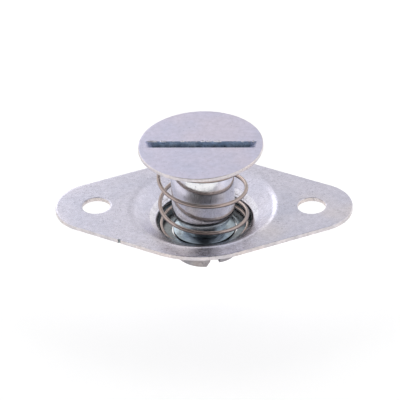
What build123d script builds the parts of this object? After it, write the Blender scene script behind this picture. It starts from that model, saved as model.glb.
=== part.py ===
from build123d import *
from math import cos, radians, sin, tan
import os

# Quarter-turn fastener: a slotted stud that a coil spring holds up in a pressed mounting plate.
# The origin is the middle of the plate's underside, +X runs along the plate's long axis and
# +Z points out through the head of the stud. Lengths are in millimetres, angles in degrees.

# Mounting plate, pressed from one sheet
sheet_thickness = 0.8
rivet_pitch = 38.0
rivet_hole_diameter = 5.0
ear_radius = 7.2
land_width = 2.3
flare_width = 5.15
flare_angle = 30.0
flare_bend_radius = 3.0
neck_bend_radius = 1.0
cup_depth = 4.5
cup_corner_chamfer = 0.5

# Stud, with its levels measured up or down from the plate's upper face
head_diameter = 21.8
head_standoff = 12.8
head_rim_thickness = 0.65
head_cone_depth = 1.7
head_edge_chamfer = 0.2
barrel_diameter = 11.1
barrel_reach = 9.5
barrel_end_chamfer = 0.25
barrel_wall = 1.2
bore_end_wall = 0.9
drill_point_angle = 118.0
waist_start = 0.2
waist_round_depth = 0.8
waist_round_width = 0.25
waist_neck_depth = 4.3
waist_neck_width = 1.95
waist_shoulder_depth = 4.4

# Driver slot in the head, with a flat bottom and sloping ends
driver_slot_width = 2.0
driver_slot_margin = 1.15
driver_slot_end_run = 1.2
driver_slot_depth = 1.0

# Cam slots in the barrel, a half turn apart: a mouth with a slanted flank and a lead-in, a steep ramp
# and a long easy rise
cam_slot_count = 2
cam_slot_width = 1.5
cam_flank_run = 0.8
cam_flank_ease = 0.1
cam_lead_step = 0.7
cam_lead_run = 4.2
cam_mouth_angle = 290.0
cam_mouth_share = 0.31
cam_ramp_turn = 26.0
cam_hold_turn = 64.0
cam_hold_rise = 0.4

# Ejector spring, a left-hand coil with closed ends, laid in short straight runs of a many-sided wire
wire_diameter = 0.7
wire_sides = 12
runs_per_turn = 24
active_turns = 2.47
lower_end_turns = 1.0
upper_end_turns = 0.5
end_coil_gap = 0.03
lower_tip_angle = 92.0

# Clearances, and how far a cut runs past the surface that it opens
barrel_clearance = 0.25
coil_inner_clearance = 1.75
coil_outer_clearance = 0.3
spring_seat_clearance = 0.05
cam_stop_clearance = 0.05
cut_overrun = 1.0

# Levels and radii that follow from the sizes above
head_radius = head_diameter / 2
barrel_radius = barrel_diameter / 2
bore_radius = barrel_radius - barrel_wall
wire_radius = wire_diameter / 2
coil_radius = barrel_radius + coil_inner_clearance + wire_radius
floor_hole_radius = barrel_radius + barrel_clearance
cup_radius = coil_radius + wire_radius + coil_outer_clearance
flare_radius = cup_radius + flare_width
centre_radius = flare_radius + land_width
ear_offset = rivet_pitch / 2
cup_floor = sheet_thickness - cup_depth
head_top = sheet_thickness + head_standoff
head_rim_foot = head_top - head_rim_thickness
head_cone_foot = head_rim_foot - head_cone_depth
barrel_end = sheet_thickness - barrel_reach
waist_top = sheet_thickness - waist_start
waist_neck = sheet_thickness - waist_neck_depth
waist_shoulder = sheet_thickness - waist_shoulder_depth
bore_end = waist_shoulder - bore_end_wall
neck_radius = barrel_radius - waist_neck_width

os.makedirs("parts", exist_ok=True)


def radial_direction(angle):
    """Return the unit direction out from the stud's axis at the given angle."""
    return (cos(radians(angle)), sin(radians(angle)), 0)


def outward_plane(angle, level):
    """Return the upright plane on the stud's axis that faces outward at the given angle."""
    return Plane(origin=(0, 0, level), x_dir=radial_direction(angle + 90), z_dir=radial_direction(angle))


def turned_helix(turn, rise, angle, level):
    """Return a helix on the barrel's surface that starts at the given angle and level."""
    helix = Helix(rise * 360 / turn, rise, barrel_radius, center=(0, 0, level), mode=Mode.PRIVATE)
    return helix.rotate(Axis.Z, angle)


# The sheet is flat out to its hull-shaped edge and drawn down to the cup inside the flare's circle
land_radius = flare_radius + land_width / 2
flare_corner_radius = flare_radius - flare_bend_radius * tan(radians(flare_angle) / 2)
neck_level = sheet_thickness - (flare_corner_radius - cup_radius) * tan(radians(flare_angle))

with BuildPart() as mounting_plate:
    with BuildSketch() as flat_outline:
        Circle(centre_radius)
        with Locations((ear_offset, 0), (-ear_offset, 0)):
            Circle(ear_radius)
        make_hull()
        Circle(land_radius, mode=Mode.SUBTRACT)
    extrude(amount=sheet_thickness)
    with BuildSketch(Plane.XZ) as drawn_section:
        with BuildLine():
            drawn_face = FilletPolyline(
                (land_radius, sheet_thickness),
                (flare_corner_radius, sheet_thickness),
                (cup_radius, neck_level),
                (cup_radius, cup_floor),
                (floor_hole_radius, cup_floor),
                radius=[flare_bend_radius, neck_bend_radius, 0],
            )
            offset(drawn_face, amount=sheet_thickness, side=Side.LEFT, kind=Kind.INTERSECTION)
        make_face()
    revolve(axis=Axis.Z)
    cup_underside = mounting_plate.edges().filter_by(GeomType.CIRCLE).group_by(Axis.Z)[0]
    chamfer(cup_underside.sort_by(SortBy.RADIUS)[-1], cup_corner_chamfer)
    with Locations((ear_offset, 0, sheet_thickness), (-ear_offset, 0, sheet_thickness)):
        Hole(rivet_hole_diameter / 2)

mounting_plate.part.label = "mounting_plate"
export_step(mounting_plate.part, "parts/mounting_plate.step")


# The stud is turned, bored from below, slotted across the head and milled with the cam slots
driver_slot_reach = head_radius - driver_slot_margin
driver_end_slope = driver_slot_end_run / driver_slot_depth
driver_cutter_reach = driver_slot_reach + driver_end_slope * cut_overrun
drill_point_height = bore_radius / tan(radians(drill_point_angle) / 2)
cam_wall_reach = barrel_radius + cut_overrun
cam_mouth_depth = cam_mouth_share * (bore_end - barrel_end)
cam_ramp_foot = barrel_end + cam_mouth_depth
cam_stop = bore_end - cam_stop_clearance - cam_slot_width / 2
cam_knee = cam_stop - cam_hold_rise
cam_ramp_rise = cam_knee - cam_ramp_foot
cam_mouth = (
    (-cam_slot_width / 2 - cam_flank_run, -cut_overrun),
    (cam_slot_width / 2 + cam_lead_run, -cut_overrun),
    (cam_slot_width / 2 + cam_lead_run, 0),
    (cam_slot_width / 2 + cam_flank_ease, cam_lead_step),
    (cam_slot_width / 2, cam_mouth_depth),
    (-cam_slot_width / 2, cam_mouth_depth),
    (-cam_slot_width / 2 - cam_flank_run, 0),
)

with BuildPart() as stud:
    with BuildSketch(Plane.XZ) as turned_section:
        with BuildLine():
            Polyline(
                (0, head_top),
                (head_radius, head_top),
                (head_radius, head_rim_foot),
                (barrel_radius, head_cone_foot),
                (barrel_radius, waist_top),
                (barrel_radius - waist_round_width, waist_top - waist_round_depth),
                (neck_radius, waist_neck),
                (neck_radius, waist_shoulder),
                (barrel_radius, waist_shoulder),
                (barrel_radius, barrel_end),
                (bore_radius, barrel_end),
                (bore_radius, bore_end),
                (0, bore_end + drill_point_height),
                close=True,
            )
        make_face()
    revolve(axis=Axis.Z)
    turned_edges = stud.edges().filter_by(GeomType.CIRCLE)
    chamfer(turned_edges.sort_by(Axis.Z)[-1], head_edge_chamfer)
    barrel_rim = turned_edges.group_by(Axis.Z)[0].sort_by(SortBy.RADIUS)[-1]
    chamfer(barrel_rim, barrel_end_chamfer)
    with BuildSketch(Plane.XZ) as driver_cutter:
        Polygon(
            (-driver_cutter_reach, head_top + cut_overrun),
            (driver_cutter_reach, head_top + cut_overrun),
            (driver_slot_reach - driver_slot_end_run, head_top - driver_slot_depth),
            (driver_slot_end_run - driver_slot_reach, head_top - driver_slot_depth),
            align=None,
        )
    extrude(amount=driver_slot_width / 2, both=True, mode=Mode.SUBTRACT)
    for slot_index in range(cam_slot_count):
        mouth_angle = cam_mouth_angle + slot_index * 360 / cam_slot_count
        knee_angle = mouth_angle + cam_ramp_turn
        stop_angle = knee_angle + cam_hold_turn
        with BuildSketch(outward_plane(mouth_angle, barrel_end)):
            Polygon(*cam_mouth, align=None)
        extrude(amount=cam_wall_reach, mode=Mode.SUBTRACT)
        cam_corners = ((mouth_angle, cam_ramp_foot), (knee_angle, cam_knee), (stop_angle, cam_stop))
        for angle, level in cam_corners:
            with BuildSketch(outward_plane(angle, level)):
                Circle(cam_slot_width / 2)
            extrude(amount=cam_wall_reach, mode=Mode.SUBTRACT)
        cam_ramp = turned_helix(cam_ramp_turn, cam_ramp_rise, mouth_angle, cam_ramp_foot)
        cam_hold = turned_helix(cam_hold_turn, cam_hold_rise, knee_angle, cam_knee)
        for cam_path, angle in ((cam_ramp, mouth_angle), (cam_hold, knee_angle)):
            with BuildSketch(Plane(cam_path @ 0, x_dir=radial_direction(angle), z_dir=cam_path % 0)):
                Rectangle(2 * (barrel_radius - bore_radius) + cut_overrun, cam_slot_width)
            sweep(path=cam_path, is_frenet=True, mode=Mode.SUBTRACT)

stud.part.label = "stud"
export_step(stud.part, "parts/stud.step")


# The spring's lower coil lies on the cup's floor and its upper coil bears under the head's cone
cone_slope = head_cone_depth / (head_radius - barrel_radius)
cone_level = head_rim_foot - cone_slope * (head_radius - coil_radius)
coil_foot = cup_floor + spring_seat_clearance + wire_radius
coil_top = cone_level - spring_seat_clearance - wire_radius * (1 + cone_slope**2) ** 0.5
end_coil_pitch = wire_diameter + end_coil_gap
end_turns = lower_end_turns + upper_end_turns
active_pitch = (coil_top - coil_foot - end_turns * end_coil_pitch) / active_turns
coil_turns = end_turns + active_turns
run_count = round(coil_turns * runs_per_turn)


def coil_point(turns):
    """Return the point on the wire's centre line that lies the given turns above its lower tip."""
    angle = radians(lower_tip_angle - turns * 360)
    opened_turns = min(max(turns - lower_end_turns, 0), active_turns)
    rise = opened_turns * active_pitch + (turns - opened_turns) * end_coil_pitch
    return Vector(coil_radius * cos(angle), coil_radius * sin(angle), coil_foot + rise)


with BuildPart() as ejector_spring:
    with BuildLine() as coil_path:
        Polyline([coil_point(coil_turns * run / run_count) for run in range(run_count + 1)])
    coil_line = coil_path.wire()
    with BuildSketch(Plane(coil_line @ 0, x_dir=radial_direction(lower_tip_angle), z_dir=coil_line % 0)):
        RegularPolygon(wire_radius, wire_sides)
    sweep(path=coil_line, transition=Transition.RIGHT)

ejector_spring.part.label = "ejector_spring"
export_step(ejector_spring.part, "parts/ejector_spring.step")
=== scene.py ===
"""Looks of a quarter-turn fastener: a pressed plate, a slotted stud and the spring that lifts it."""
import logging
import math
import random
from collections.abc import Callable, Sequence
from dataclasses import dataclass
from enum import Enum

import bmesh
import bpy
from mathutils import Matrix, Vector


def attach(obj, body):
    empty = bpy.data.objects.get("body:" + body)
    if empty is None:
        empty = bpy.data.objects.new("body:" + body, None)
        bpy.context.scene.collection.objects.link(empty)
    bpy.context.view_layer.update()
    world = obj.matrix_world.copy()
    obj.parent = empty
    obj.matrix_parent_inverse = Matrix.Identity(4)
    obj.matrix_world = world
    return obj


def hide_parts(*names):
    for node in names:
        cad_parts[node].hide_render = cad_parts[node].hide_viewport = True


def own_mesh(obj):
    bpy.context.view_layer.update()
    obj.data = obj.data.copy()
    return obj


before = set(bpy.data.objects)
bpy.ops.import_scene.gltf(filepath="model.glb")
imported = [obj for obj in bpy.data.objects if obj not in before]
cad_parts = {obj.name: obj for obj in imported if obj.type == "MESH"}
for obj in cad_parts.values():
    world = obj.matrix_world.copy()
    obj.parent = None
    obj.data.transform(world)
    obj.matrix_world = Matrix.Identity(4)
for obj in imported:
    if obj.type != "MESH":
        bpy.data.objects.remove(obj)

MM = 0.001
MERGE_DISTANCE = 0.002 * MM
FULL_TURN = 2 * math.pi
WHITE = "#FFFFFF"

# The most that an edge's face points upwards, and the least that a face does that isn't an underside
EDGE_RISE = 0.35
UNDERSIDE_RISE = -0.5
# The most that the walls and the floor of the driver slot face along it
SLOT_END_LEAN = 0.3

# Pits in the plating, the patches that they lie in and the zinc's mottling. The pits and the mottling are
# drawn coarser than the real ones so that they show.
SPECK_MM = 0.3
SPECK_PATCH_MM = 5.0
SPECK_COLOUR = "#4A4A55"
MOTTLE_MM = 0.9
# How far rolling draws out the fine lines
ROLLED_STRETCH = 5.0
# How far the warm clouds are moved from the cool ones, in metres, and how many times larger they are
BLUSH_SHIFT = (0.031, -0.017, 0.023)
BLUSH_SIZE = 1.7
# The noise values at which each pattern starts and is full
COOL_BAND = (0.42, 0.68)
WARM_BAND = (0.48, 0.66)
PIT_BAND = (0.60, 0.70)
PATCH_BAND = (0.45, 0.60)
FINE_BAND = (0.3, 0.7)
# How strongly the fine lines tilt the surface
RELIEF_STRENGTH = 0.5
# How far a drawn-out highlight is turned from the rings, as a share of a full turn
HIGHLIGHT_TURN = 0.25
# Sockets of a colour Mix node: its share, its two colours and its result
MIX_SHARE, MIX_FIRST, MIX_SECOND, MIX_RESULT = 0, 6, 7, 2

log = logging.getLogger("fastener")

Point = tuple[float, float, float]
RingPoint = tuple[float, float]
PartTest = Callable[[object], bool]


class Body(Enum):
    """The moving bodies of the frame that pieces ride on."""

    PLATE = "plate"
    SPRING = "spring"
    STUD = "stud"


class Slot(Enum):
    """The record's material slots."""

    SHEET = "plated_sheet"
    STUD = "plated_stud"
    WIRE = "spring_wire"


class Grain(Enum):
    """How the fine lines of a metal surface run."""

    ROLLED = "rolled"
    TURNED = "turned"
    TUMBLED = "tumbled"


class MeshPart(Enum):
    """The kinds of mesh part that can be selected."""

    VERTEX = "VERT"
    EDGE = "EDGE"
    FACE = "FACE"


def linear(colour: str) -> tuple[float, float, float, float]:
    """Turn an sRGB hex colour into linear RGBA.

    Args:
        colour: Six hex digits after a hash sign.

    Returns:
        Linear red, green and blue, and an alpha of 1.
    """
    shares = [int(colour[i:i + 2], 16) / 255 for i in (1, 3, 5)]
    return (*(c / 12.92 if c <= 0.04045 else ((c + 0.055) / 1.055) ** 2.4 for c in shares), 1.0)


def per_metre(size_mm: float) -> float:
    """Return the texture scale that repeats once in the given millimetres."""
    return 1 / (size_mm * MM)


def metres(place_mm: Point) -> Point:
    """Return a place in millimetres as one in metres."""
    return tuple(share * MM for share in place_mm)


def away(face: bmesh.types.BMFace) -> float:
    """Return how far a face's middle lies from the stud's axis, in metres."""
    return face.calc_center_median().xy.length


def height(face: bmesh.types.BMFace) -> float:
    """Return the level of a face's middle, in metres."""
    return face.calc_center_median().z


def add_node(
    tree: bpy.types.NodeTree,
    kind: str,
    settings: dict[str, object] | None = None,
    inputs: dict[str | int, object] | None = None,
) -> bpy.types.Node:
    """Add one node with its settings, socket values and links.

    Args:
        tree: The tree that gets the node.
        kind: Blender's name for the kind of node.
        settings: Properties of the node itself.
        inputs: A value for each socket, or a pair of node and output to link to it.

    Returns:
        The new node.
    """
    node = tree.nodes.new(kind)
    for name, value in (settings or {}).items():
        setattr(node, name, value)
    for socket, value in (inputs or {}).items():
        if isinstance(value, tuple) and isinstance(value[0], bpy.types.Node):
            tree.links.new(value[0].outputs[value[1]], node.inputs[socket])
        else:
            node.inputs[socket].default_value = value
    return node


def new_material(name: str) -> bpy.types.Material:
    """Make a node material without any nodes.

    Args:
        name: The material's name.

    Returns:
        The empty material.
    """
    made = bpy.data.materials.new(name)
    made.use_nodes = True
    made.node_tree.nodes.clear()
    return made


def begin(name: str) -> bpy.types.Object:
    """Add a small plane, shrink it to one vertex at the origin and stay in edit mode.

    Args:
        name: The name of the new piece.

    Returns:
        The new piece, in edit mode with its vertex selected.
    """
    bpy.ops.object.select_all(action="DESELECT")
    bpy.ops.mesh.primitive_plane_add(size=MM)
    piece = bpy.context.object
    piece.name = piece.data.name = name
    bpy.ops.object.mode_set(mode="EDIT")
    bpy.ops.mesh.select_mode(type="VERT")
    bpy.ops.mesh.merge(type="CENTER")
    return piece


def draw(points: Sequence[Point]) -> None:
    """Move the selected vertex to the first point and extrude it through the others.

    Args:
        points: Places in millimetres, in order.
    """
    places = [metres(point) for point in points]
    bpy.ops.transform.translate(value=places[0])
    for start, end in zip(places, places[1:]):
        step = tuple(b - a for a, b in zip(start, end))
        bpy.ops.mesh.extrude_vertices_move(TRANSFORM_OT_translate={"value": step})


def merge_all() -> None:
    """Select the whole mesh in edit mode and merge its doubles."""
    bpy.ops.mesh.select_all(action="SELECT")
    bpy.ops.mesh.remove_doubles(threshold=MERGE_DISTANCE)


def face_outwards() -> None:
    """Make every face of the closed mesh in edit mode point outwards."""
    merge_all()
    bpy.ops.mesh.normals_make_consistent(inside=False)


def pick(piece: bpy.types.Object, kind: MeshPart, test: PartTest) -> None:
    """Select in edit mode the parts of a mesh that pass a test, and nothing else.

    Args:
        piece: The piece in edit mode.
        kind: What is selected.
        test: Says whether a part of that kind is wanted.
    """
    bpy.ops.mesh.select_mode(type=kind.value)
    bpy.ops.mesh.select_all(action="DESELECT")
    shape = bmesh.from_edit_mesh(piece.data)
    shape.normal_update()
    parts = {MeshPart.VERTEX: shape.verts, MeshPart.EDGE: shape.edges, MeshPart.FACE: shape.faces}
    for part in [part for part in parts[kind] if test(part)]:
        part.select_set(True)
    shape.select_flush_mode()
    bmesh.update_edit_mesh(piece.data)


def leave_edit() -> None:
    """Go back to object mode."""
    bpy.ops.object.mode_set(mode="OBJECT")


def activate(piece: bpy.types.Object) -> None:
    """Select one piece alone and make it the active one."""
    bpy.ops.object.select_all(action="DESELECT")
    piece.select_set(True)
    bpy.context.view_layer.objects.active = piece


def apply_modifier(piece: bpy.types.Object, kind: str, settings: dict[str, object]) -> None:
    """Add a modifier to a piece and apply it.

    Args:
        piece: The piece in object mode.
        kind: Blender's name for the kind of modifier.
        settings: Properties of the modifier.
    """
    activate(piece)
    modifier = piece.modifiers.new(kind.title(), kind)
    for name, value in settings.items():
        setattr(modifier, name, value)
    bpy.ops.object.modifier_apply(modifier=modifier.name)


def carve(piece: bpy.types.Object, cutter: bpy.types.Object) -> None:
    """Cut one piece with another and delete the cutter."""
    apply_modifier(piece, "BOOLEAN", {"operation": "DIFFERENCE", "solver": "EXACT", "object": cutter})
    bpy.data.objects.remove(cutter)


def shade(piece: bpy.types.Object, degrees: float) -> None:
    """Shade a piece smooth except across edges sharper than an angle."""
    activate(piece)
    bpy.ops.object.shade_smooth_by_angle(angle=math.radians(degrees))


def bend(
    corner: RingPoint, before: RingPoint, after: RingPoint, radius: float, steps: int,
) -> list[RingPoint]:
    """Round the corner between two straight runs of a section.

    Args:
        corner: The sharp corner, as radius and level.
        before: A point on the run that comes in.
        after: A point on the run that goes out.
        radius: The bend's radius.
        steps: How many runs the bend is drawn with.

    Returns:
        The points along the bend, both ends included.
    """
    place = Vector(corner)
    way_in = (Vector(before) - place).normalized()
    way_out = (Vector(after) - place).normalized()
    half = way_in.angle(way_out) / 2
    centre = place + (way_in + way_out).normalized() * radius / math.sin(half)
    first = place + way_in * radius / math.tan(half) - centre
    last = place + way_out * radius / math.tan(half) - centre
    sweep = first.angle_signed(last)
    turns = [Matrix.Rotation(-sweep * step / steps, 2) for step in range(steps + 1)]
    return [tuple(centre + turn @ first) for turn in turns]


def lathe(name: str, section: Sequence[RingPoint], steps: int) -> bpy.types.Object:
    """Draw a section and spin it once round the stud's axis.

    Args:
        name: The name of the new piece.
        section: Radius and level of each point in millimetres.
        steps: How many runs the circle is drawn with.

    Returns:
        The new piece, in edit mode with all of it selected.
    """
    piece = begin(name)
    draw([(radius, 0.0, level) for radius, level in section])
    bpy.ops.mesh.select_all(action="SELECT")
    bpy.ops.mesh.spin(steps=steps, angle=FULL_TURN, center=(0, 0, 0), axis=(0, 0, 1))
    merge_all()
    return piece


def prism(name: str, outline: Sequence[Point], way: Point) -> bpy.types.Object:
    """Draw a closed outline, fill it and extrude it into a solid.

    Args:
        name: The name of the new piece.
        outline: The outline's corners in millimetres, in order.
        way: How far the outline is extruded along each axis, in millimetres.

    Returns:
        The closed solid, in object mode.
    """
    solid = begin(name)
    draw([*outline, outline[0]])
    merge_all()
    bpy.ops.mesh.edge_face_add()
    bpy.ops.mesh.extrude_region_move(TRANSFORM_OT_translate={"value": metres(way)})
    face_outwards()
    leave_edit()
    return solid


def settle(piece: bpy.types.Object, body: Body, node: str) -> None:
    """Let a finished piece ride on its body in place of its node.

    Args:
        piece: The finished piece.
        body: The body that it moves with.
        node: The node that it stands for.
    """
    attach(piece, body.value)
    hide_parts(node)


@dataclass(frozen=True)
class MetalFinish:
    """A plated or drawn metal surface, clouded in colour and finely lined.

    The passivated zinc reads as a soft grey mirror with a breath of lilac, straw and rose. Fine lines left
    by rolling, turning or tumbling break its gloss, and they are drawn coarser than the real ones so that
    they show.
    """

    name: str
    base: str
    cool: str
    warm: str
    cool_share: float
    warm_share: float
    roughness: tuple[float, float]
    cloud_mm: float
    grain: Grain
    grain_mm: float
    grain_depth_mm: float
    speck_share: float = 0.0
    mottle: float = 0.0
    drawn_out: float = 0.0

    def grain_place(self, tree: bpy.types.NodeTree, place: bpy.types.Node) -> tuple[bpy.types.Node, str]:
        """Lay out the coordinates of the fine lines.

        Args:
            tree: The material's tree.
            place: The Texture Coordinate node.

        Returns:
            A node and the name of its output.
        """
        if self.grain is Grain.TUMBLED:
            return place, "Object"
        if self.grain is Grain.ROLLED:
            stretched = add_node(tree, "ShaderNodeMapping", {"vector_type": "POINT"}, {
                "Vector": (place, "Object"), "Scale": (1 / ROLLED_STRETCH, 1.0, 1.0)})
            return stretched, "Vector"
        parts = add_node(tree, "ShaderNodeSeparateXYZ", None, {"Vector": (place, "Object")})
        flat = add_node(tree, "ShaderNodeCombineXYZ", None, {"X": (parts, "X"), "Y": (parts, "Y")})
        radius = add_node(tree, "ShaderNodeVectorMath", {"operation": "LENGTH"}, {0: (flat, "Vector")})
        lined = add_node(tree, "ShaderNodeCombineXYZ", None, {"X": (radius, "Value"), "Z": (parts, "Z")})
        return lined, "Vector"

    def colour(self, tree: bpy.types.NodeTree, place: bpy.types.Node) -> bpy.types.Node:
        """Mix the clouds, the pits and the mottling into one colour.

        Args:
            tree: The material's tree.
            place: The Texture Coordinate node.

        Returns:
            The Mix node that holds the colour.
        """
        clouds = add_node(tree, "ShaderNodeTexNoise", None, {
            "Vector": (place, "Object"), "Scale": per_metre(self.cloud_mm), "Detail": 3.0,
            "Roughness": 0.55})
        cool = add_node(tree, "ShaderNodeMapRange", None, {
            "Value": (clouds, 0), "From Min": COOL_BAND[0], "From Max": COOL_BAND[1],
            "To Max": self.cool_share})
        moved = add_node(tree, "ShaderNodeMapping", None, {
            "Vector": (place, "Object"), "Location": BLUSH_SHIFT})
        blushes = add_node(tree, "ShaderNodeTexNoise", None, {
            "Vector": (moved, "Vector"), "Scale": per_metre(BLUSH_SIZE * self.cloud_mm), "Detail": 2.0})
        warm = add_node(tree, "ShaderNodeMapRange", None, {
            "Value": (blushes, 0), "From Min": WARM_BAND[0], "From Max": WARM_BAND[1],
            "To Max": self.warm_share})
        cooled = add_node(tree, "ShaderNodeMix", {"data_type": "RGBA"}, {
            MIX_SHARE: (cool, 0), MIX_FIRST: linear(self.base), MIX_SECOND: linear(self.cool)})
        warmed = add_node(tree, "ShaderNodeMix", {"data_type": "RGBA"}, {
            MIX_SHARE: (warm, 0), MIX_FIRST: (cooled, MIX_RESULT), MIX_SECOND: linear(self.warm)})
        specks = add_node(tree, "ShaderNodeTexNoise", None, {
            "Vector": (place, "Object"), "Scale": per_metre(SPECK_MM), "Detail": 1.0})
        patches = add_node(tree, "ShaderNodeTexNoise", None, {
            "Vector": (moved, "Vector"), "Scale": per_metre(SPECK_PATCH_MM), "Detail": 1.0})
        pitted = add_node(tree, "ShaderNodeMapRange", None, {
            "Value": (specks, 0), "From Min": PIT_BAND[0], "From Max": PIT_BAND[1],
            "To Max": self.speck_share})
        patched = add_node(tree, "ShaderNodeMapRange", None, {
            "Value": (patches, 0), "From Min": PATCH_BAND[0], "From Max": PATCH_BAND[1]})
        pits = add_node(tree, "ShaderNodeMath", {"operation": "MULTIPLY"}, {
            0: (pitted, 0), 1: (patched, 0)})
        coloured = add_node(tree, "ShaderNodeMix", {"data_type": "RGBA"}, {
            MIX_SHARE: (pits, 0), MIX_FIRST: (warmed, MIX_RESULT), MIX_SECOND: linear(SPECK_COLOUR)})
        spangle = add_node(tree, "ShaderNodeTexNoise", None, {
            "Vector": (place, "Object"), "Scale": per_metre(MOTTLE_MM), "Detail": 3.0, "Roughness": 0.7})
        mottled = add_node(tree, "ShaderNodeMapRange", None, {
            "Value": (spangle, 0), "From Min": FINE_BAND[0], "From Max": FINE_BAND[1],
            "To Min": 1 - self.mottle, "To Max": 1 + self.mottle})
        return add_node(tree, "ShaderNodeMix", {"data_type": "RGBA", "blend_type": "MULTIPLY"}, {
            MIX_SHARE: 1.0, MIX_FIRST: (coloured, MIX_RESULT), MIX_SECOND: (mottled, 0)})

    def material(self) -> bpy.types.Material:
        """Make the finish as a node material on Object coordinates.

        Returns:
            The new material.
        """
        made = new_material(self.name)
        tree = made.node_tree
        place = add_node(tree, "ShaderNodeTexCoord")
        lines = add_node(tree, "ShaderNodeTexNoise", None, {
            "Vector": self.grain_place(tree, place), "Scale": per_metre(self.grain_mm), "Detail": 4.0,
            "Roughness": 0.6})
        rough = add_node(tree, "ShaderNodeMapRange", None, {
            "Value": (lines, 0), "From Min": FINE_BAND[0], "From Max": FINE_BAND[1],
            "To Min": self.roughness[0], "To Max": self.roughness[1]})
        relief = add_node(tree, "ShaderNodeBump", None, {
            "Height": (lines, 0), "Strength": RELIEF_STRENGTH, "Distance": self.grain_depth_mm * MM})
        metal = add_node(tree, "ShaderNodeBsdfPrincipled", None, {
            "Base Color": (self.colour(tree, place), MIX_RESULT), "Metallic": 1.0,
            "Roughness": (rough, 0), "Normal": (relief, 0)})
        if self.drawn_out:
            rings = add_node(tree, "ShaderNodeTangent", {"direction_type": "RADIAL", "axis": "Z"})
            tree.links.new(rings.outputs[0], metal.inputs["Tangent"])
            metal.inputs["Anisotropic"].default_value = self.drawn_out
            metal.inputs["Anisotropic Rotation"].default_value = HIGHLIGHT_TURN
        add_node(tree, "ShaderNodeOutputMaterial", None, {"Surface": (metal, 0)})
        return made


# Zinc on cold-rolled sheet: satin, lilac grey, straw and rose where the passivation lies thick
SHEET_ZINC = MetalFinish(
    "zinc_plated_rolled_sheet", "#D0CDDA", "#C3C3D3", "#DDD3D0", 0.8, 0.7, (0.22, 0.34), 9.0,
    Grain.ROLLED, 0.3, 0.003, speck_share=0.3, mottle=0.10)
# Zinc over the draw radius, which the die has burnished, so its gloss is finer; its colour is painted lighter
# than the sheet as a highlight round the cup's mouth
NECK_ZINC_AND_HIGHLIGHT = MetalFinish(
    "burnished_neck_zinc_and_painted_highlight", "#DCDAE3", "#D0D1DD", "#E4DDDB", 0.8, 0.6, (0.18, 0.28), 5.0,
    Grain.TUMBLED, 0.4, 0.003, speck_share=0.45, mottle=0.12)
# Zinc inside the drawn cup and in the nick in the edge, painted dark as the shade in these recesses
CUP_ZINC_AND_SHADE = MetalFinish(
    "drawn_cup_zinc_and_painted_shade", "#899299", "#78858C", "#969592", 0.8, 0.5, (0.20, 0.34), 4.0,
    Grain.TUMBLED, 0.4, 0.004, speck_share=0.5, mottle=0.15)
# Zinc on the sheet's sheared edge and the head's rim: rougher where shearing tears the sheet, and painted
# lighter than the faces beside it as a highlight
EDGE_ZINC_AND_HIGHLIGHT = MetalFinish(
    "rough_edge_zinc_and_painted_highlight", "#D8D1D3", "#C5C2C9", "#DFD3CF", 0.7, 0.7, (0.24, 0.42), 3.0,
    Grain.TUMBLED, 0.3, 0.01, speck_share=0.5, mottle=0.16)
# Zinc on the stud's head: tumbled before plating, so its gloss is even and soft
HEAD_ZINC = MetalFinish(
    "zinc_plated_tumbled_head", "#CBC7DA", "#C1C2D7", "#D0C9D8", 0.9, 0.8, (0.26, 0.42), 6.0,
    Grain.TUMBLED, 0.35, 0.006, mottle=0.09)
# The driver slot's walls and floor, painted blue-grey as the shade in the slot
SLOT_ZINC_AND_SHADE = MetalFinish(
    "driver_slot_zinc_and_painted_shade", "#C6D0DE", "#B3BFD0", "#D4D9E0", 0.8, 0.6, (0.22, 0.40), 1.5,
    Grain.TUMBLED, 0.25, 0.012, mottle=0.25)
# The burr along the driver slot, painted near white as a highlight on its torn steps
BURR_ZINC_AND_HIGHLIGHT = MetalFinish(
    "torn_burr_painted_highlight", "#F6F4F8", "#E8E9F2", "#F8F2F0", 0.5, 0.5, (0.30, 0.50), 1.5,
    Grain.TUMBLED, 0.25, 0.012, mottle=0.10)
# Zinc on the turned barrel: bright, with faint rings that draw its highlights out
BARREL_ZINC = MetalFinish(
    "zinc_plated_turned_barrel", "#F0F1F5", "#E4E8F0", "#F4F1EF", 0.7, 0.5, (0.09, 0.17), 6.0,
    Grain.TURNED, 0.3, 0.0025, speck_share=0.35, mottle=0.10, drawn_out=0.3)
# Zinc on the turned waist: the same, painted darker as the shade inside the cup
WAIST_ZINC_AND_SHADE = MetalFinish(
    "turned_waist_zinc_and_painted_shade", "#C6CCD7", "#B3BFD1", "#CBC9C9", 0.8, 0.5, (0.10, 0.20), 5.0,
    Grain.TURNED, 0.3, 0.003, speck_share=0.4, mottle=0.15, drawn_out=0.3)
# Zinc on the ledge under the waist and in the bore, painted dark as the shade in the cup round it
LEDGE_ZINC_AND_SHADE = MetalFinish(
    "turned_ledge_zinc_and_painted_shade", "#A6B2BA", "#95A3AE", "#AEB4B7", 0.8, 0.5, (0.18, 0.30), 3.0,
    Grain.TURNED, 0.3, 0.003, speck_share=0.5, mottle=0.2)
# Zinc on the cam end: dull, because the slots are milled and tumbled after turning, and painted darker as the
# shade under the plate
CAM_ZINC_AND_SHADE = MetalFinish(
    "cam_end_zinc_and_painted_shade", "#9E9A9E", "#8C8D95", "#A89E9B", 0.8, 0.7, (0.20, 0.34), 4.0,
    Grain.TURNED, 0.3, 0.004, speck_share=0.4, mottle=0.15)
# Hard-drawn spring wire under a thin brown oxide
SPRING_WIRE = MetalFinish(
    "hard_drawn_spring_wire", "#A69893", "#968D8C", "#AE9C95", 0.6, 0.6, (0.08, 0.18), 2.5,
    Grain.TUMBLED, 0.25, 0.004, mottle=0.08)


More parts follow.
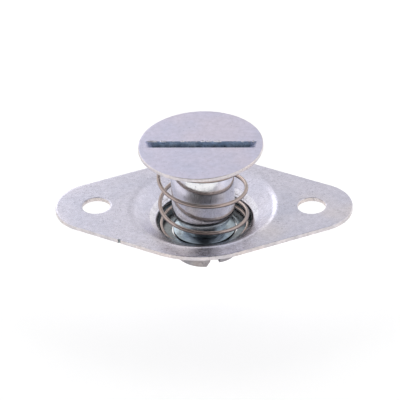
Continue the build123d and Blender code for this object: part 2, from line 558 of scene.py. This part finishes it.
def dress(
    piece: bpy.types.Object, base: MetalFinish, coats: Sequence[tuple[MetalFinish, PartTest]] = (),
) -> None:
    """Give a piece its base finish, and over it each other finish on the faces that pass a test.

    Args:
        piece: The piece in object mode.
        base: The finish of every face that no test picks.
        coats: The other finishes in order, each with the test for its faces.
    """
    piece.data.materials.append(base.material())
    for index, (finish, test) in enumerate(coats, start=1):
        piece.data.materials.append(finish.material())
        activate(piece)
        bpy.ops.object.mode_set(mode="EDIT")
        pick(piece, MeshPart.FACE, test)
        piece.active_material_index = index
        bpy.ops.object.material_slot_assign()
        leave_edit()


@dataclass
class MountingPlate:
    """The pressed plate with its ears, flare and drawn cup. Sizes in millimetres, angles in degrees."""

    thickness: float = 0.8
    ear_offset: float = 19.0
    ear_radius: float = 7.2
    hole_radius: float = 2.5
    centre_radius: float = 15.75
    flare_radius: float = 13.45
    flare_angle: float = 30.0
    flare_bend: float = 3.0
    neck_bend: float = 1.0
    cup_radius: float = 8.3
    cup_corner: float = 0.25
    cup_floor: float = -3.7
    floor_hole: float = 5.8
    cup_shade: float = 0.12
    burnished: float = 1.3
    border: float = 0.4
    edge_round: float = 0.10
    edge_trim: float = 0.01
    edge_angle: float = 50.0
    crease_angle: float = 35.0
    nick_along: float = 7.8
    nick_radius: float = 0.25
    nick_depth: float = 3.2
    nick_sides: int = 12
    corner_steps: int = 4
    neck_steps: int = 8
    flare_steps: int = 10
    edge_steps: int = 3
    arc_steps: int = 40
    turn_steps: int = 128

    def lean(self) -> float:
        """Return the angle between the long axis and the square to a straight side, in radians."""
        return math.acos((self.centre_radius - self.ear_radius) / self.ear_offset)

    def section(self) -> list[RingPoint]:
        """Lay out the drawn sheet's upper face from the floor hole out to the flat land.

        Returns:
            Radius and level of each point.
        """
        slope = math.tan(math.radians(self.flare_angle))
        lip = self.flare_radius - self.flare_bend * math.tan(math.radians(self.flare_angle) / 2)
        inner = (self.floor_hole, self.cup_floor)
        foot = (self.cup_radius, self.cup_floor)
        neck = (self.cup_radius, self.thickness - (lip - self.cup_radius) * slope)
        top = (lip, self.thickness)
        land = (self.flare_radius, self.thickness)
        return [
            inner,
            (self.floor_hole + self.border, self.cup_floor),
            *bend(foot, inner, neck, self.cup_corner, self.corner_steps),
            *bend(neck, foot, top, self.neck_bend, self.neck_steps),
            (self.cup_radius + self.burnished, neck[1] + self.burnished * slope),
            *bend(top, neck, land, self.flare_bend, self.flare_steps),
        ]

    def outline(self) -> list[Point]:
        """Lay out the sheet's edge on its upper face.

        Returns:
            A closed chain of points.
        """
        lean = self.lean()
        arcs = (
            (self.ear_offset, self.ear_radius, -lean, lean),
            (0.0, self.centre_radius, lean, math.pi - lean),
            (-self.ear_offset, self.ear_radius, math.pi - lean, math.pi + lean),
            (0.0, self.centre_radius, math.pi + lean, FULL_TURN - lean),
        )
        points = []
        for middle, radius, first, last in arcs:
            reach = radius - self.edge_trim
            for step in range(self.arc_steps + 1):
                angle = first + (last - first) * step / self.arc_steps
                points.append((
                    middle + reach * math.cos(angle), reach * math.sin(angle), self.thickness))
        return [*points, points[0]]

    def shape(self) -> bpy.types.Object:
        """Draw the flat blank round the drawn cup, give it its thickness and round its edges.

        Returns:
            The finished mesh.
        """
        top = self.thickness * MM
        level = top - MERGE_DISTANCE
        flat = self.flare_radius * MM - MERGE_DISTANCE
        piece = lathe("pressed_plate", self.section(), self.turn_steps)
        bpy.ops.mesh.primitive_plane_add(size=MM)
        bpy.ops.mesh.merge(type="CENTER")
        draw(self.outline())
        for side in (1, -1):
            bpy.ops.mesh.primitive_circle_add(
                vertices=self.arc_steps * 2, radius=self.hole_radius * MM,
                location=(side * self.ear_offset * MM, 0, top))
        merge_all()
        pick(piece, MeshPart.EDGE, lambda e: (
            len(e.link_faces) < 2 and all(v.co.z > level for v in e.verts)))
        bpy.ops.mesh.fill(use_beauty=True)
        pick(piece, MeshPart.FACE, lambda f: all(
            v.co.z > level and v.co.xy.length > flat for v in f.verts))
        bpy.ops.mesh.inset(thickness=self.border * MM, use_boundary=True)
        bpy.ops.mesh.select_all(action="SELECT")
        bpy.ops.mesh.normals_make_consistent(inside=False)
        if bmesh.from_edit_mesh(piece.data).faces[0].normal.z < 0:
            bpy.ops.mesh.flip_normals()
        leave_edit()
        apply_modifier(piece, "SOLIDIFY", {
            "thickness": self.thickness * MM, "offset": -1.0, "use_even_offset": True})
        apply_modifier(piece, "BEVEL", {
            "width": self.edge_round * MM, "segments": self.edge_steps, "limit_method": "ANGLE",
            "angle_limit": math.radians(self.edge_angle)})
        carve(piece, self.nick_cutter())
        shade(piece, self.crease_angle)
        return piece

    def nick_place(self) -> Vector:
        """Find the small nick in the near left edge of the sheet.

        Returns:
            The nick's middle in millimetres.
        """
        lean = self.lean()
        outwards = Vector((-math.cos(lean), -math.sin(lean), 0.0))
        along = Vector((-math.sin(lean), math.cos(lean), 0.0))
        return outwards * self.centre_radius + along * self.nick_along

    def nick_cutter(self) -> bpy.types.Object:
        """Make the cutter for the nick.

        Returns:
            A small upright cylinder.
        """
        bpy.ops.object.select_all(action="DESELECT")
        bpy.ops.mesh.primitive_cylinder_add(
            vertices=self.nick_sides, radius=self.nick_radius * MM, depth=self.nick_depth * MM)
        cutter = bpy.context.object
        cutter.data.transform(Matrix.Translation(self.nick_place() * MM))
        return cutter

    def in_painted_shade(self, face: bmesh.types.BMFace) -> bool:
        """Say whether a face lies inside the cup or in the nick, where the dark finish is painted shade.

        Args:
            face: A face of the finished mesh.

        Returns:
            True for a face that wears the cup's painted shade.
        """
        wall = (self.cup_radius + self.cup_shade) * MM
        nick = self.nick_place() * MM
        close = self.nick_radius * MM + MERGE_DISTANCE
        in_cup = away(face) < wall and face.normal.z > UNDERSIDE_RISE
        return in_cup or all((v.co.xy - nick.xy).length < close for v in face.verts)

    def build(self) -> bpy.types.Object:
        """Model the plate, dress it and let it ride on its body.

        Returns:
            The finished piece.
        """
        rim = (self.flare_radius + self.border) * MM
        neck = (self.cup_radius + self.burnished) * MM
        piece = self.shape()
        dress(piece, SHEET_ZINC, [
            # The sheared edge, painted lighter as a highlight
            (EDGE_ZINC_AND_HIGHLIGHT, lambda f: away(f) > rim and abs(f.normal.z) < EDGE_RISE),
            # The neck, painted lighter as a highlight round the cup's mouth
            (NECK_ZINC_AND_HIGHLIGHT, lambda f: away(f) < neck),
            # Inside the cup and in the nick, painted dark as shade
            (CUP_ZINC_AND_SHADE, self.in_painted_shade),
        ])
        settle(piece, Body.PLATE, "mounting_plate")
        return piece


@dataclass
class Stud:
    """The turned stud with its driver slot, waist and cam slots. Sizes in millimetres, angles in degrees."""

    head_radius: float = 10.9
    head_top: float = 13.6
    rim_foot: float = 12.95
    cone_foot: float = 11.25
    edge_round: float = 0.12
    crown_border: float = 0.36
    crown_shade: float = 0.012
    rim_round: float = 0.12
    root_round: float = 0.35
    support: float = 0.1
    barrel_radius: float = 5.55
    waist_top: float = 0.2
    waist_round: float = 1.6
    neck_radius: float = 3.6
    neck_level: float = -3.5
    shoulder: float = -3.6
    shoulder_round: float = 0.15
    ledge_shade: float = 0.3
    barrel_end: float = -8.7
    end_chamfer: float = 0.25
    bore_radius: float = 4.35
    bore_end: float = -4.5
    drill_point: float = 2.614
    driver_width: float = 2.0
    driver_reach: float = 9.75
    driver_end_run: float = 1.2
    driver_depth: float = 1.0
    burr_depth: float = 0.14
    burr_width: float = 0.3
    burr_highlight_reach: float = 0.6
    burr_pitch: float = 0.32
    burr_seed: int = 5
    cam_count: int = 2
    cam_width: float = 1.5
    cam_flank_run: float = 0.8
    cam_flank_ease: float = 0.1
    cam_lead_step: float = 0.7
    cam_lead_run: float = 4.2
    cam_foot: float = -7.398
    cam_knee: float = -5.7
    cam_stop: float = -5.3
    cam_mouth_angle: float = 290.0
    cam_ramp_turn: float = 26.0
    cam_hold_turn: float = 64.0
    cut_overrun: float = 0.8
    crease_angle: float = 35.0
    edge_steps: int = 4
    rim_steps: int = 2
    root_steps: int = 3
    waist_steps: int = 5
    shoulder_steps: int = 2
    cam_end_steps: int = 10
    cam_side_steps: int = 8
    turn_steps: int = 128

    def section(self) -> list[RingPoint]:
        """Lay out the turned section from the middle of the head to the drill point.

        Returns:
            Radius and level of each point.
        """
        crown = (self.head_radius, self.head_top)
        rim = (self.head_radius, self.rim_foot)
        root = (self.barrel_radius, self.cone_foot)
        centre = (0.0, self.head_top)
        waist = (self.barrel_radius, self.waist_top)
        neck = (self.neck_radius, self.neck_level)
        pit = (self.neck_radius, self.shoulder)
        ledge = (self.barrel_radius, self.shoulder)
        end = (self.barrel_radius, self.barrel_end)
        root_bend = bend(root, rim, waist, self.root_round, self.root_steps)
        waist_bend = bend(waist, root, neck, self.waist_round, self.waist_steps)
        return [
            centre,
            (self.head_radius - self.crown_border, self.head_top),
            *bend(crown, centre, rim, self.edge_round, self.edge_steps),
            *bend(rim, crown, root, self.rim_round, self.rim_steps),
            *root_bend,
            (self.barrel_radius, root_bend[-1][1] - self.support),
            (self.barrel_radius, waist_bend[0][1] + self.support),
            *waist_bend,
            neck,
            pit,
            *bend(ledge, pit, end, self.shoulder_round, self.shoulder_steps),
            (self.barrel_radius, self.barrel_end + self.end_chamfer),
            (self.barrel_radius - self.end_chamfer, self.barrel_end),
            (self.bore_radius, self.barrel_end),
            (self.bore_radius, self.bore_end),
            (0.0, self.bore_end + self.drill_point),
        ]

    def turned_blank(self) -> bpy.types.Object:
        """Turn the stud before any slot is cut.

        Returns:
            The closed blank, in object mode.
        """
        blank = lathe("slotted_stud", self.section(), self.turn_steps)
        face_outwards()
        pick(blank, MeshPart.VERTEX, lambda v: (
            v.co.xy.length < MERGE_DISTANCE and v.co.z > self.cone_foot * MM))
        bpy.ops.mesh.dissolve_verts()
        leave_edit()
        return blank

    def driver_cutter(self) -> bpy.types.Object:
        """Make the cutter for the driver slot, flat below and sloping at its ends.

        Returns:
            The closed cutter, in object mode.
        """
        above = self.head_top + self.cut_overrun
        below = self.head_top - self.driver_depth
        wide = self.driver_reach + self.cut_overrun * self.driver_end_run / self.driver_depth
        narrow = self.driver_reach - self.driver_end_run
        near = -self.driver_width / 2
        outline = [(-wide, near, above), (wide, near, above), (narrow, near, below), (-narrow, near, below)]
        return prism("driver_cutter", outline, (0.0, self.driver_width, 0.0))

    def burr_cutter(self) -> bpy.types.Object:
        """Make the cutter that tears small steps into the driver slot's far edge.

        Returns:
            The closed cutter, in object mode.
        """
        draws = random.Random(self.burr_seed)
        far = self.driver_width / 2
        reach = self.driver_reach - self.burr_pitch
        level = self.head_top - self.burr_depth
        count = round(2 * reach / self.burr_pitch)
        outline = [(side * reach, far - self.burr_width, level) for side in (1, -1)]
        for step in range(count + 1):
            along = -reach + 2 * reach * step / count
            outline.append((along, far + draws.uniform(-1.0, 1.0) * self.burr_width, level))
        return prism("burr_cutter", outline, (0.0, 0.0, self.cut_overrun))

    def cam_cutter(
        self, flat: Sequence[RingPoint], angle: float, inside: float, wrapped: bool,
    ) -> bpy.types.Object:
        """Extrude a flat outline outwards through the barrel's wall.

        Args:
            flat: The outline as distance round the barrel and level in millimetres.
            angle: Where the outline's start lies, in degrees.
            inside: How far from the axis the cutter starts.
            wrapped: Whether the outline is wrapped round the barrel.

        Returns:
            The closed cutter, in object mode.
        """
        through = self.barrel_radius + self.cut_overrun - inside
        outline = [(inside, along, level) for along, level in flat]
        cutter = prism("cam_cutter", outline, (through, 0.0, 0.0))
        if wrapped:
            for vertex in cutter.data.vertices:
                turn = vertex.co.y / (self.barrel_radius * MM)
                vertex.co = (vertex.co.x * math.cos(turn), vertex.co.x * math.sin(turn), vertex.co.z)
        cutter.data.transform(Matrix.Rotation(math.radians(angle), 4, "Z"))
        return cutter

    def slot_run(self, start: RingPoint, end: RingPoint) -> list[RingPoint]:
        """Lay out a straight slot with round ends between two flat points.

        Args:
            start: The middle of one round end.
            end: The middle of the other.

        Returns:
            The outline's points in order.
        """
        way = Vector(end) - Vector(start)
        heading = math.atan2(way.y, way.x)
        square = math.pi / 2
        radius = self.cam_width / 2
        points = []
        for middle, first, other in ((end, heading - square, start), (start, heading + square, end)):
            for step in range(self.cam_end_steps + 1):
                angle = first + math.pi * step / self.cam_end_steps
                points.append((middle[0] + radius * math.cos(angle), middle[1] + radius * math.sin(angle)))
            last = Vector(points[-1])
            run = Vector(other) - Vector(middle)
            for step in range(1, self.cam_side_steps):
                points.append(tuple(last + run * step / self.cam_side_steps))
        return points

    def cam_mouth(self) -> list[RingPoint]:
        """Lay out a cam slot's mouth, with its slanted flank and its lead-in.

        Returns:
            The outline's points in order.
        """
        half = self.cam_width / 2
        flank = -half - self.cam_flank_run
        lead = half + self.cam_lead_run
        below = self.barrel_end - self.cut_overrun
        return [
            (flank, below), (lead, below), (lead, self.barrel_end),
            (half + self.cam_flank_ease, self.barrel_end + self.cam_lead_step),
            (half, self.cam_foot), (-half, self.cam_foot), (flank, self.barrel_end),
        ]

    def cam_runs(self) -> list[list[RingPoint]]:
        """Lay out a cam slot's ramp and hold, unrolled.

        Returns:
            The outlines of the two runs.
        """
        per_degree = math.radians(1) * self.barrel_radius
        foot = (0.0, self.cam_foot)
        knee = (self.cam_ramp_turn * per_degree, self.cam_knee)
        stop = (knee[0] + self.cam_hold_turn * per_degree, self.cam_stop)
        return [self.slot_run(foot, knee), self.slot_run(knee, stop)]

    def in_crown(self, face: bmesh.types.BMFace, floor_mm: float) -> bool:
        """Say whether a face is sunk into the head's top.

        Args:
            face: A face of the slotted stud.
            floor_mm: The level that the face has to lie over.

        Returns:
            True for a face between that level and the top, and inside the rounded rim.
        """
        crown = (self.head_top - self.crown_shade) * MM
        rim = (self.head_radius - self.edge_round) * MM
        return floor_mm * MM < height(face) < crown and away(face) < rim

    def in_driver_slot(self, face: bmesh.types.BMFace) -> bool:
        """Say whether a face is a wall or the floor of the driver slot.

        Args:
            face: A face of the slotted stud.

        Returns:
            True for a face that wears the slot's painted shade.
        """
        wall = self.driver_width / 2 * MM + MERGE_DISTANCE
        floor_mm = self.head_top - self.driver_depth - MERGE_DISTANCE / MM
        upright = abs(face.normal.x) < SLOT_END_LEAN and face.normal.z > UNDERSIDE_RISE
        return upright and abs(face.calc_center_median().y) < wall and self.in_crown(face, floor_mm)

    def on_burr(self, face: bmesh.types.BMFace) -> bool:
        """Say whether a face belongs to the burr past the driver slot's far wall, which is painted near white
        as a highlight.

        Args:
            face: A face of the slotted stud.

        Returns:
            True for a face that wears the burr's painted highlight.
        """
        wall = self.driver_width / 2 * MM + MERGE_DISTANCE
        beyond = wall < face.calc_center_median().y < wall + self.burr_highlight_reach * MM
        return beyond and self.in_crown(face, self.rim_foot - self.rim_round)

    def build(self) -> bpy.types.Object:
        """Turn, slot and dress the stud and let it ride on its body.

        Returns:
            The finished piece.
        """
        piece = self.turned_blank()
        carve(piece, self.driver_cutter())
        carve(piece, self.burr_cutter())
        inside = self.bore_radius - self.cut_overrun
        for index in range(self.cam_count):
            angle = self.cam_mouth_angle + index * 360 / self.cam_count
            carve(piece, self.cam_cutter(self.cam_mouth(), angle, 0.0, wrapped=False))
            for outline in self.cam_runs():
                carve(piece, self.cam_cutter(outline, angle, inside, wrapped=True))
        shade(piece, self.crease_angle)
        under = (self.rim_foot - self.rim_round) * MM
        rim = (self.head_radius - self.edge_round) * MM
        cam_end = (self.shoulder - self.ledge_shade) * MM
        dress(piece, BARREL_ZINC, [
            (HEAD_ZINC, lambda f: height(f) > under),
            # The head's rim, painted lighter as a highlight
            (EDGE_ZINC_AND_HIGHLIGHT, lambda f: height(f) > under and away(f) > rim),
            # The driver slot, painted blue-grey as shade
            (SLOT_ZINC_AND_SHADE, self.in_driver_slot),
            # The waist, painted darker as the shade inside the cup
            (WAIST_ZINC_AND_SHADE, lambda f: height(f) < self.waist_top * MM),
            # The ledge and the bore, painted dark as shade
            (LEDGE_ZINC_AND_SHADE, lambda f: height(f) < self.neck_level * MM),
            # The cam end, painted darker as the shade under the plate
            (CAM_ZINC_AND_SHADE, lambda f: height(f) < cam_end and away(f) > self.bore_radius * MM),
            # The burr, painted near white as a highlight
            (BURR_ZINC_AND_HIGHLIGHT, self.on_burr),
        ])
        settle(piece, Body.STUD, "stud")
        return piece


@dataclass
class EjectorSpring:
    """The left-hand coil that lifts the stud. Sizes in millimetres, angles in degrees."""

    wire_radius: float = 0.35
    coil_radius: float = 7.65
    foot: float = -3.3
    top: float = 11.5
    lower_closed_turns: float = 0.9
    upper_closed_turns: float = 0.4
    closed_pitch: float = 0.73
    opening_turns: float = 0.2
    total_turns: float = 3.97
    lower_tip_angle: float = 92.0
    cup_floor: float = -3.7
    pressed_height: float = 2.5
    crease_angle: float = 40.0
    wire_sides: int = 20
    steps_per_turn: int = 72
    fewest_steps: int = 2

    def stages(self) -> list[tuple[float, float]]:
        """Divide the coil into its closed, opening, open, closing and closed stages.

        Returns:
            The turns and the rise of each stage.
        """
        closed_turns = self.lower_closed_turns + self.upper_closed_turns
        open_turns = self.total_turns - closed_turns - 2 * self.opening_turns
        rise = self.top - self.foot - (closed_turns + self.opening_turns) * self.closed_pitch
        pitch = rise / (open_turns + self.opening_turns)
        opening = (self.opening_turns, self.opening_turns * (pitch + self.closed_pitch) / 2)
        return [
            (self.lower_closed_turns, self.lower_closed_turns * self.closed_pitch),
            opening,
            (open_turns, open_turns * pitch),
            opening,
            (self.upper_closed_turns, self.upper_closed_turns * self.closed_pitch),
        ]

    def coil_stage(self, turned: float, level: float, turns: float, rise: float) -> bpy.types.Object:
        """Screw the wire's section through one stage of the coil.

        Args:
            turned: Turns from the lower tip to the stage's start.
            level: The wire's middle at the stage's start.
            turns: Turns in the stage.
            rise: How far the stage climbs.

        Returns:
            The stage's tube, open at both ends.
        """
        start = math.radians(self.lower_tip_angle - turned * 360)
        bpy.ops.object.select_all(action="DESELECT")
        bpy.ops.mesh.primitive_circle_add(vertices=self.wire_sides, radius=self.wire_radius * MM)
        stage = bpy.context.object
        bpy.ops.object.mode_set(mode="EDIT")
        bpy.ops.mesh.select_all(action="SELECT")
        bpy.ops.transform.rotate(value=math.pi / 2, orient_axis="X", center_override=(0, 0, 0))
        bpy.ops.transform.translate(value=(self.coil_radius * MM, 0, 0))
        leave_edit()
        steps = max(self.fewest_steps, round(turns * self.steps_per_turn))
        apply_modifier(stage, "SCREW", {
            "angle": -turns * FULL_TURN, "screw_offset": rise * MM, "steps": steps, "render_steps": steps,
            "use_smooth_shade": True, "use_normal_calculate": False})
        stage.data.transform(Matrix.Translation((0, 0, level * MM)) @ Matrix.Rotation(start, 4, "Z"))
        return stage

    def shape(self) -> bpy.types.Object:
        """Join the stages into one closed wire.

        Returns:
            The finished mesh.
        """
        turned, level, parts = 0.0, self.foot, []
        for turns, rise in self.stages():
            parts.append(self.coil_stage(turned, level, turns, rise))
            turned += turns
            level += rise
        activate(parts[0])
        for part in parts:
            part.select_set(True)
        bpy.ops.object.join()
        piece = bpy.context.object
        piece.name = piece.data.name = "coil_spring"
        bpy.ops.object.mode_set(mode="EDIT")
        merge_all()
        pick(piece, MeshPart.EDGE, lambda e: len(e.link_faces) == 1)
        bpy.ops.mesh.fill_holes(sides=0)
        face_outwards()
        leave_edit()
        shade(piece, self.crease_angle)
        return piece

    def build(self) -> bpy.types.Object:
        """Wind and dress the spring, let it ride on its body and give it a mesh of its own.

        Returns:
            The finished piece.
        """
        piece = self.shape()
        dress(piece, SPRING_WIRE)
        settle(piece, Body.SPRING, "ejector_spring")
        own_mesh(piece)
        return piece


@dataclass(frozen=True)
class Softbox:
    """A square soft light that faces the fastener. Lengths in millimetres."""

    name: str
    place: Point
    side: float
    watts: float

    def hang(self) -> None:
        """Add the light to the scene."""
        data = bpy.data.lights.new(self.name, "AREA")
        data.size = self.side * MM
        data.energy = self.watts
        lamp = bpy.data.objects.new(self.name, data)
        lamp.location = Vector(self.place) * MM
        lamp.rotation_euler = (-Vector(self.place)).to_track_quat("-Z", "Y").to_euler()
        bpy.context.scene.collection.objects.link(lamp)


@dataclass
class Studio:
    """The white floor, the soft light and the camera. Lengths in millimetres, angles in degrees."""

    floor_level: float = -21.5
    floor_size: float = 4000.0
    floor_colour: str = "#E6E6E6"
    floor_glow: float = 0.46
    room_light: float = 0.88
    ceiling_light: float = 0.06
    ceiling_lean: float = 32.0
    ceiling_middle: float = 37.0
    ceiling_edge: float = 44.0
    side_gain: float = 1.3
    side_start: float = 0.1
    side_reach: float = 0.5
    aim_level: float = 0.8
    distance: float = 500.0
    elevation: float = 34.0
    yaw: float = 5.0
    roll: float = 2.8
    field_width: float = 70.35
    sensor_width: float = 36.0
    nearest: float = 10.0
    farthest: float = 20000.0
    picture_side: float = 400.0
    aim_pixel: tuple[float, float] = (203.6, 205.6)
    softboxes: tuple[Softbox, ...] = (
        Softbox("left_softbox", (-440.0, -40.0, 300.0), 440.0, 0.10),
        Softbox("right_softbox", (440.0, -60.0, 300.0), 440.0, 0.10),
        Softbox("back_softbox", (-190.0, 460.0, 250.0), 150.0, 0.12),
    )

    def light_world(self) -> None:
        """Light the scene from all round and more from both sides, but not from a ceiling over the camera."""
        world = bpy.data.worlds.new("white_studio")
        bpy.context.scene.world = world
        world.use_nodes = True
        tree = world.node_tree
        tree.nodes.clear()
        place = add_node(tree, "ShaderNodeTexCoord")
        parts = add_node(tree, "ShaderNodeSeparateXYZ", None, {"Vector": (place, "Generated")})
        lean = math.radians(self.ceiling_lean)
        near_ceiling = add_node(tree, "ShaderNodeVectorMath", {"operation": "DOT_PRODUCT"}, {
            0: (place, "Generated"), 1: (0.0, -math.sin(lean), math.cos(lean))})
        level = add_node(tree, "ShaderNodeMapRange", {"interpolation_type": "SMOOTHSTEP"}, {
            "Value": (near_ceiling, "Value"),
            "From Min": math.cos(math.radians(self.ceiling_edge)),
            "From Max": math.cos(math.radians(self.ceiling_middle)),
            "To Min": self.room_light, "To Max": self.ceiling_light})
        aside = add_node(tree, "ShaderNodeMath", {"operation": "ABSOLUTE"}, {0: (parts, "X")})
        gain = add_node(tree, "ShaderNodeMapRange", {"interpolation_type": "SMOOTHSTEP"}, {
            "Value": (aside, 0), "From Min": self.side_start, "From Max": self.side_reach,
            "To Min": 1.0, "To Max": self.side_gain})
        strength = add_node(tree, "ShaderNodeMath", {"operation": "MULTIPLY"}, {
            0: (level, 0), 1: (gain, 0)})
        room = add_node(tree, "ShaderNodeBackground", None, {
            "Color": linear(WHITE), "Strength": (strength, 0)})
        add_node(tree, "ShaderNodeOutputWorld", None, {"Surface": (room, 0)})

    def lay_floor(self) -> None:
        """Lay a wide white floor, clear from below, whose glow shows to the camera and in the metal."""
        bpy.ops.object.select_all(action="DESELECT")
        bpy.ops.mesh.primitive_plane_add(size=self.floor_size * MM, location=(0, 0, self.floor_level * MM))
        floor = bpy.context.object
        floor.name = "studio_floor"
        made = new_material("matt_white_board")
        tree = made.node_tree
        board = add_node(tree, "ShaderNodeBsdfDiffuse", None, {"Color": linear(self.floor_colour)})
        path = add_node(tree, "ShaderNodeLightPath")
        sharp = add_node(tree, "ShaderNodeMath", {"operation": "MAXIMUM"}, {
            0: (path, "Is Glossy Ray"), 1: (path, "Is Transmission Ray")})
        seen = add_node(tree, "ShaderNodeMath", {"operation": "MAXIMUM"}, {
            0: (path, "Is Camera Ray"), 1: (sharp, 0)})
        strength = add_node(tree, "ShaderNodeMath", {"operation": "MULTIPLY"}, {
            0: (seen, 0), 1: self.floor_glow})
        glow = add_node(tree, "ShaderNodeEmission", None, {
            "Color": linear(WHITE), "Strength": (strength, 0)})
        both = add_node(tree, "ShaderNodeAddShader", None, {0: (board, 0), 1: (glow, 0)})
        clear = add_node(tree, "ShaderNodeBsdfTransparent")
        side = add_node(tree, "ShaderNodeNewGeometry")
        shown = add_node(tree, "ShaderNodeMixShader", None, {
            0: (side, "Backfacing"), 1: (both, 0), 2: (clear, 0)})
        add_node(tree, "ShaderNodeOutputMaterial", None, {"Surface": (shown, 0)})
        floor.data.materials.append(made)

    def aim_camera(self) -> None:
        """Set the camera at the photograph's angle, distance and framing."""
        data = bpy.data.cameras.new("photograph_camera")
        camera = bpy.data.objects.new("photograph_camera", data)
        bpy.context.scene.collection.objects.link(camera)
        bpy.context.scene.camera = camera
        rise, turn = math.radians(self.elevation), math.radians(self.yaw)
        back = Vector((math.sin(turn) * math.cos(rise), -math.cos(turn) * math.cos(rise), math.sin(rise)))
        camera.location = Vector((0, 0, self.aim_level * MM)) + back * self.distance * MM
        facing = (-back).to_track_quat("-Z", "Y").to_matrix()
        camera.rotation_euler = (facing @ Matrix.Rotation(math.radians(-self.roll), 3, "Z")).to_euler()
        data.sensor_width = self.sensor_width
        data.lens = data.sensor_width * self.distance / self.field_width
        data.shift_x = 0.5 - self.aim_pixel[0] / self.picture_side
        data.shift_y = self.aim_pixel[1] / self.picture_side - 0.5
        data.clip_start = self.nearest * MM
        data.clip_end = self.farthest * MM

    def build(self) -> None:
        """Set up the light, the floor and the camera."""
        bpy.context.scene.view_settings.view_transform = "Standard"
        self.light_world()
        self.lay_floor()
        for softbox in self.softboxes:
            softbox.hang()
        self.aim_camera()


def main() -> None:
    """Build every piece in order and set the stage."""
    logging.basicConfig(level=logging.INFO, format="%(message)s")
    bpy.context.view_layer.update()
    for part in (MountingPlate(), Stud(), EjectorSpring()):
        piece = part.build()
        log.info("built %s with %d faces", piece.name, len(piece.data.polygons))
    Studio().build()


if __name__ == "__main__":
    main()
